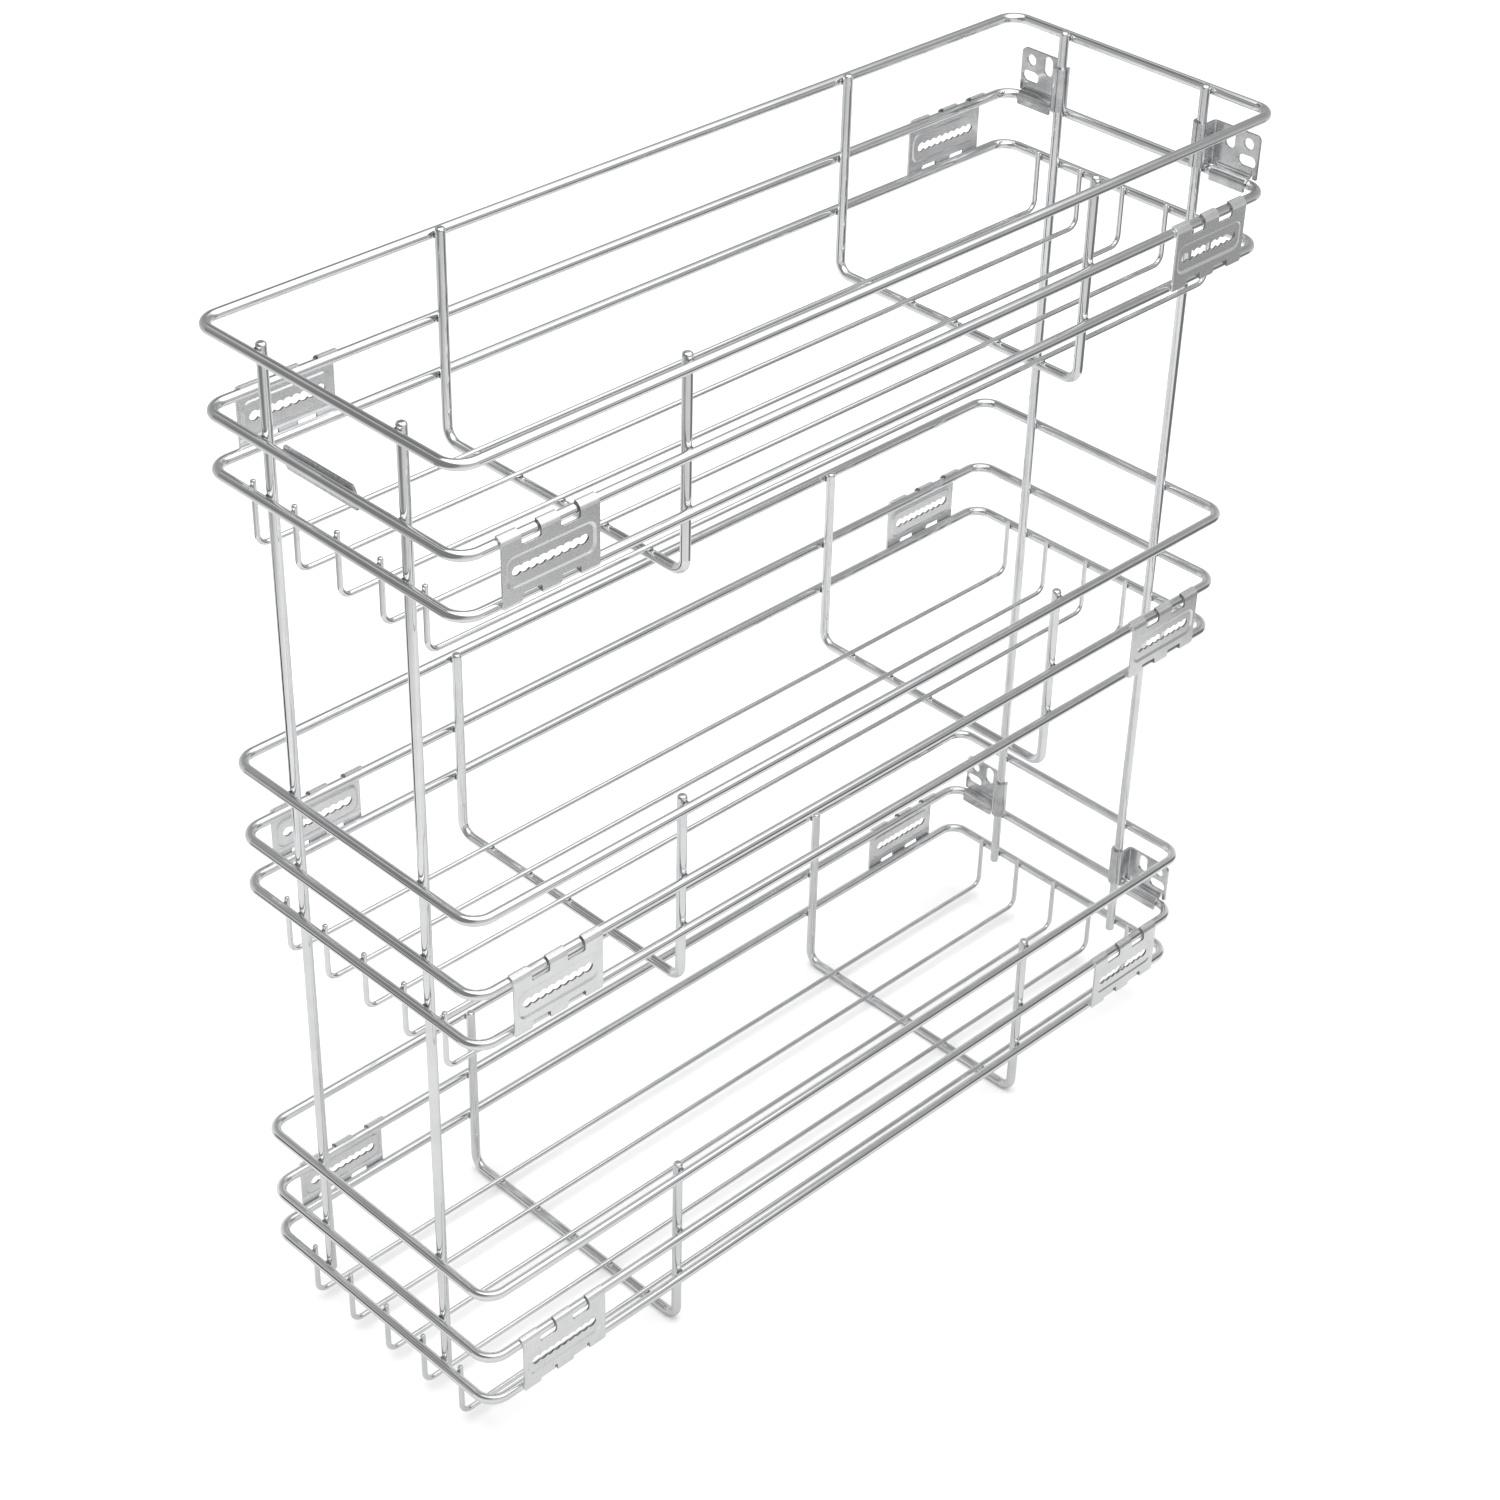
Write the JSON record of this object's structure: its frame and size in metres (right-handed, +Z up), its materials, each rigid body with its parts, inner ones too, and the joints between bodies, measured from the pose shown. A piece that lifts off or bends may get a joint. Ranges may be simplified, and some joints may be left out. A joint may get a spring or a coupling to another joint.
{
  "type": "pull-out bottle basket",
  "caption": "Tall narrow welded-wire basket with stacked trays, side clips for cabinet slides and front brackets for a door.",
  "frame": {"origin": "centre of the footprint, at the underside of the lowest cross wires", "axes": "+Z up; +Y from the door end to the rear; +X across the basket, to the right seen from the door"},
  "size_m": [0.1566, 0.4646, 0.4975],
  "materials": {
    "frame_wire_chrome": "bright chrome plating",
    "floor_wire_chrome": "bright chrome plating",
    "clip_zinc": "satin zinc-plated stamping",
    "bracket_zinc": "bright zinc-plated stamping",
    "end_plate_steel": "plated strip, dull"
  },
  "bodies": {
    "basket": {"lower_base_ring": "frame_wire_chrome", "lower_rail_ring": "frame_wire_chrome", "lower_rim_ring": "frame_wire_chrome", "lower_front_cross_wire": "frame_wire_chrome", "lower_rear_cross_wire": "frame_wire_chrome", "lower_floor_wire_1": "floor_wire_chrome", "lower_floor_wire_2": "floor_wire_chrome", "lower_floor_wire_3": "floor_wire_chrome", "lower_floor_wire_4": "floor_wire_chrome", "lower_floor_wire_5": "floor_wire_chrome", "middle_base_ring": "frame_wire_chrome", "middle_rail_ring": "frame_wire_chrome", "middle_rim_ring": "frame_wire_chrome", "middle_front_cross_wire": "frame_wire_chrome", "middle_rear_cross_wire": "frame_wire_chrome", "middle_floor_wire_1": "floor_wire_chrome", "middle_floor_wire_2": "floor_wire_chrome", "middle_floor_wire_3": "floor_wire_chrome", "middle_floor_wire_4": "floor_wire_chrome", "middle_floor_wire_5": "floor_wire_chrome", "upper_base_ring": "frame_wire_chrome", "upper_rail_ring": "frame_wire_chrome", "upper_rim_ring": "frame_wire_chrome", "upper_front_cross_wire": "frame_wire_chrome", "upper_rear_cross_wire": "frame_wire_chrome", "upper_floor_wire_1": "floor_wire_chrome", "upper_floor_wire_2": "floor_wire_chrome", "upper_floor_wire_3": "floor_wire_chrome", "upper_floor_wire_4": "floor_wire_chrome", "upper_floor_wire_5": "floor_wire_chrome", "front_left_post": "frame_wire_chrome", "front_right_post": "frame_wire_chrome", "rear_left_post": "frame_wire_chrome", "rear_right_post": "frame_wire_chrome", "rear_end_plate": "end_plate_steel"},
    "lower_front_left_clip": {"lower_front_left_clip": "clip_zinc"},
    "lower_front_right_clip": {"lower_front_right_clip": "clip_zinc"},
    "lower_rear_left_clip": {"lower_rear_left_clip": "clip_zinc"},
    "lower_rear_right_clip": {"lower_rear_right_clip": "clip_zinc"},
    "middle_front_left_clip": {"middle_front_left_clip": "clip_zinc"},
    "middle_front_right_clip": {"middle_front_right_clip": "clip_zinc"},
    "middle_rear_left_clip": {"middle_rear_left_clip": "clip_zinc"},
    "middle_rear_right_clip": {"middle_rear_right_clip": "clip_zinc"},
    "upper_front_left_clip": {"upper_front_left_clip": "clip_zinc"},
    "upper_front_right_clip": {"upper_front_right_clip": "clip_zinc"},
    "upper_rear_left_clip": {"upper_rear_left_clip": "clip_zinc"},
    "upper_rear_right_clip": {"upper_rear_right_clip": "clip_zinc"},
    "lower_left_door_bracket": {"lower_left_door_bracket": "bracket_zinc"},
    "lower_right_door_bracket": {"lower_right_door_bracket": "bracket_zinc"},
    "upper_left_door_bracket": {"upper_left_door_bracket": "bracket_zinc"},
    "upper_right_door_bracket": {"upper_right_door_bracket": "bracket_zinc"}
  },
  "joints": [
    {"name": "lower_front_left_clip_slide", "type": "slide", "parent": "basket", "child": "lower_front_left_clip", "axis": [0, 1, 0], "range_m": [-0.0075, 0.1655]},
    {"name": "lower_front_right_clip_slide", "type": "slide", "parent": "basket", "child": "lower_front_right_clip", "axis": [0, 1, 0], "range_m": [-0.0075, 0.1655]},
    {"name": "lower_rear_left_clip_slide", "type": "slide", "parent": "basket", "child": "lower_rear_left_clip", "axis": [0, 1, 0], "range_m": [-0.1655, 0.0075]},
    {"name": "lower_rear_right_clip_slide", "type": "slide", "parent": "basket", "child": "lower_rear_right_clip", "axis": [0, 1, 0], "range_m": [-0.1655, 0.0075]},
    {"name": "middle_front_left_clip_slide", "type": "slide", "parent": "basket", "child": "middle_front_left_clip", "axis": [0, 1, 0], "range_m": [-0.0075, 0.1655]},
    {"name": "middle_front_right_clip_slide", "type": "slide", "parent": "basket", "child": "middle_front_right_clip", "axis": [0, 1, 0], "range_m": [-0.0075, 0.1655]},
    {"name": "middle_rear_left_clip_slide", "type": "slide", "parent": "basket", "child": "middle_rear_left_clip", "axis": [0, 1, 0], "range_m": [-0.1655, 0.0075]},
    {"name": "middle_rear_right_clip_slide", "type": "slide", "parent": "basket", "child": "middle_rear_right_clip", "axis": [0, 1, 0], "range_m": [-0.1655, 0.0075]},
    {"name": "upper_front_left_clip_slide", "type": "slide", "parent": "basket", "child": "upper_front_left_clip", "axis": [0, 1, 0], "range_m": [-0.0075, 0.1655]},
    {"name": "upper_front_right_clip_slide", "type": "slide", "parent": "basket", "child": "upper_front_right_clip", "axis": [0, 1, 0], "range_m": [-0.0075, 0.1655]},
    {"name": "upper_rear_left_clip_slide", "type": "slide", "parent": "basket", "child": "upper_rear_left_clip", "axis": [0, 1, 0], "range_m": [-0.1655, 0.0075]},
    {"name": "upper_rear_right_clip_slide", "type": "slide", "parent": "basket", "child": "upper_rear_right_clip", "axis": [0, 1, 0], "range_m": [-0.1655, 0.0075]},
    {"name": "lower_left_door_bracket_lift", "type": "slide", "parent": "basket", "child": "lower_left_door_bracket", "axis": [0, 0, 1], "range_m": [0, 0.011]},
    {"name": "lower_right_door_bracket_lift", "type": "slide", "parent": "basket", "child": "lower_right_door_bracket", "axis": [0, 0, 1], "range_m": [0, 0.011]},
    {"name": "upper_left_door_bracket_lift", "type": "slide", "parent": "basket", "child": "upper_left_door_bracket", "axis": [0, 0, 1], "range_m": [0, 0.011]},
    {"name": "upper_right_door_bracket_lift", "type": "slide", "parent": "basket", "child": "upper_right_door_bracket", "axis": [0, 0, 1], "range_m": [0, 0.011]}
  ]
}
